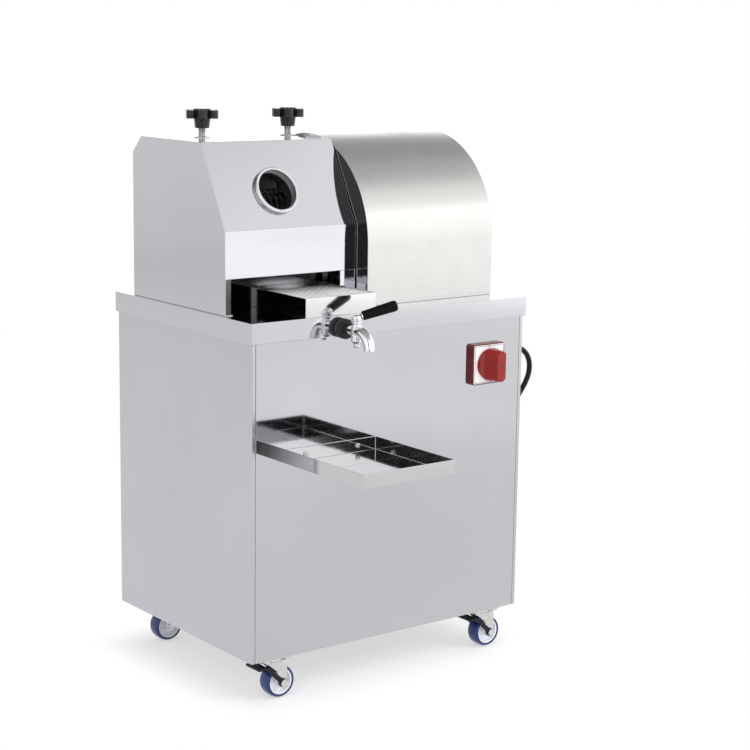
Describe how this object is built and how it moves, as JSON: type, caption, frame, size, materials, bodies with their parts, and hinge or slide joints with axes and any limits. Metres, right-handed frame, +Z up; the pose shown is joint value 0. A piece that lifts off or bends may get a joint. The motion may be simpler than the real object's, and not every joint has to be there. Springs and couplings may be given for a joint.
{
  "type": "electric sugarcane juicer",
  "caption": "Electric cane juicer: grooved rollers in a slanted head on a stainless cabinet with casters, juice tray, lever tap, drip tray, rotary switch and arched drive cover.",
  "frame": {"origin": "bottom centre of the machine's box on its wheels, without the cord", "axes": "+Z up, -Y to the front where the tap and drip tray are, +X to the right where the drive cover is"},
  "size_m": [0.6104, 0.7295, 0.8979],
  "materials": {
    "stainless_sheet": "polished",
    "frame_steel": "satin",
    "zinc_steel": "satin",
    "machined_steel": "satin",
    "gear_steel": "satin",
    "bronze": "satin",
    "chrome": "polished",
    "cast_housing": "matte",
    "motor_paint": "matte",
    "black_plastic": "satin",
    "brake_plastic": "matte",
    "red_plastic": "gloss",
    "white_plate": "satin",
    "wheel_core": "satin",
    "blue_tread": "satin",
    "cord_rubber": "satin"
  },
  "bodies": {
    "cabinet": {"base_frame": "frame_steel", "base_plate": "stainless_sheet", "front_panel": "stainless_sheet", "left_panel": "stainless_sheet", "right_panel": "stainless_sheet", "rear_panel": "stainless_sheet", "worktop": "stainless_sheet", "panel_screws": "zinc_steel", "frame_bolts": "zinc_steel", "caster_plates": "zinc_steel", "head_cover": "stainless_sheet", "feed_collar": "chrome", "stand_left_plate": "machined_steel", "stand_right_plate": "machined_steel", "stand_tie_rods": "zinc_steel", "lower_bushes": "bronze", "screw_washers": "zinc_steel", "gearbox_housing": "cast_housing", "motor_body": "motor_paint", "drive_cover": "stainless_sheet", "juice_tray": "stainless_sheet", "strainer_plate": "stainless_sheet", "outlet_elbow": "zinc_steel", "tap_body": "chrome", "tap_nut": "zinc_steel", "drip_tray": "stainless_sheet", "switch_base": "red_plastic", "switch_plate": "white_plate", "cable_gland": "black_plastic", "power_cord": "cord_rubber", "cord_coil": "cord_rubber", "plug_body": "black_plastic"},
    "press_carriage": {"upper_blocks": "bronze"},
    "upper_roller": {"upper_roller": "machined_steel", "upper_gear": "gear_steel"},
    "front_roller": {"front_roller": "machined_steel", "front_gear": "gear_steel"},
    "rear_roller": {"rear_roller": "machined_steel", "rear_gear": "gear_steel"},
    "left_knob": {"left_screw": "zinc_steel", "left_knob": "black_plastic"},
    "right_knob": {"right_screw": "zinc_steel", "right_knob": "black_plastic"},
    "tap_lever": {"tap_lever": "chrome", "tap_grip": "black_plastic"},
    "switch_knob": {"switch_knob": "red_plastic"},
    "caster_fl": {"caster_fl_fork": "zinc_steel"},
    "wheel_fl": {"caster_fl_core": "wheel_core", "caster_fl_tyre": "blue_tread"},
    "caster_fr": {"caster_fr_fork": "zinc_steel"},
    "wheel_fr": {"caster_fr_core": "wheel_core", "caster_fr_tyre": "blue_tread"},
    "caster_bl": {"caster_bl_fork": "zinc_steel"},
    "wheel_bl": {"caster_bl_core": "wheel_core", "caster_bl_tyre": "blue_tread"},
    "caster_br": {"caster_br_fork": "zinc_steel"},
    "wheel_br": {"caster_br_core": "wheel_core", "caster_br_tyre": "blue_tread"},
    "brake_fl": {"brake_fl": "brake_plastic"},
    "brake_fr": {"brake_fr": "brake_plastic"}
  },
  "joints": [
    {"name": "press_slide", "type": "slide", "parent": "cabinet", "child": "press_carriage", "axis": [0, 0, 1], "range_m": [0, 0.003]},
    {"name": "front_roller_spin", "type": "hinge", "parent": "cabinet", "child": "front_roller", "pos_m": [0, 0.1, 0.673], "axis": [1, 0, 0], "continuous": true},
    {"name": "rear_roller_spin", "type": "hinge", "parent": "cabinet", "child": "rear_roller", "pos_m": [0, 0.19, 0.673], "axis": [1, 0, 0], "continuous": true},
    {"name": "upper_roller_spin", "type": "hinge", "parent": "press_carriage", "child": "upper_roller", "pos_m": [0, 0.145, 0.733], "axis": [1, 0, 0], "continuous": true},
    {"name": "left_knob_turn", "type": "hinge", "parent": "press_carriage", "child": "left_knob", "pos_m": [-0.197, 0.145, 0.86], "axis": [0, 0, 1], "range_deg": [0, 617.2]},
    {"name": "right_knob_turn", "type": "hinge", "parent": "press_carriage", "child": "right_knob", "pos_m": [-0.034, 0.145, 0.86], "axis": [0, 0, 1], "range_deg": [0, 617.2]},
    {"name": "tap_turn", "type": "hinge", "parent": "cabinet", "child": "tap_lever", "pos_m": [-0.106, -0.143, 0.577], "axis": [0, 0, -1], "range_deg": [0, 90]},
    {"name": "switch_turn", "type": "hinge", "parent": "cabinet", "child": "switch_knob", "pos_m": [0.179, -0.12, 0.496], "axis": [0, -1, 0], "range_deg": [-60, 60]},
    {"name": "swivel_fl", "type": "hinge", "parent": "cabinet", "child": "caster_fl", "pos_m": [-0.212, -0.071, 0.06], "axis": [0, 0, 1], "continuous": true},
    {"name": "roll_fl", "type": "hinge", "parent": "caster_fl", "child": "wheel_fl", "pos_m": [-0.199, -0.071, 0.026], "axis": [0, 1, 0], "continuous": true},
    {"name": "swivel_fr", "type": "hinge", "parent": "cabinet", "child": "caster_fr", "pos_m": [0.212, -0.071, 0.06], "axis": [0, 0, 1], "continuous": true},
    {"name": "roll_fr", "type": "hinge", "parent": "caster_fr", "child": "wheel_fr", "pos_m": [0.225, -0.071, 0.026], "axis": [0, 1, 0], "continuous": true},
    {"name": "swivel_bl", "type": "hinge", "parent": "cabinet", "child": "caster_bl", "pos_m": [-0.212, 0.261, 0.06], "axis": [0, 0, 1], "continuous": true},
    {"name": "roll_bl", "type": "hinge", "parent": "caster_bl", "child": "wheel_bl", "pos_m": [-0.199, 0.261, 0.026], "axis": [0, 1, 0], "continuous": true},
    {"name": "swivel_br", "type": "hinge", "parent": "cabinet", "child": "caster_br", "pos_m": [0.212, 0.261, 0.06], "axis": [0, 0, 1], "continuous": true},
    {"name": "roll_br", "type": "hinge", "parent": "caster_br", "child": "wheel_br", "pos_m": [0.225, 0.261, 0.026], "axis": [0, 1, 0], "continuous": true},
    {"name": "brake_fl_press", "type": "hinge", "parent": "caster_fl", "child": "brake_fl", "pos_m": [-0.199, -0.071, 0.026], "axis": [0, -1, 0], "range_deg": [0, 25]},
    {"name": "brake_fr_press", "type": "hinge", "parent": "caster_fr", "child": "brake_fr", "pos_m": [0.225, -0.071, 0.026], "axis": [0, -1, 0], "range_deg": [0, 25]}
  ],
  "couplings": [
    {"joint": "upper_roller_spin", "follows": "front_roller_spin", "ratio": -1},
    {"joint": "rear_roller_spin", "follows": "front_roller_spin", "ratio": 1},
    {"joint": "left_knob_turn", "follows": "press_slide", "rad_per_m": 3590.4},
    {"joint": "right_knob_turn", "follows": "press_slide", "rad_per_m": 3590.4}
  ]
}
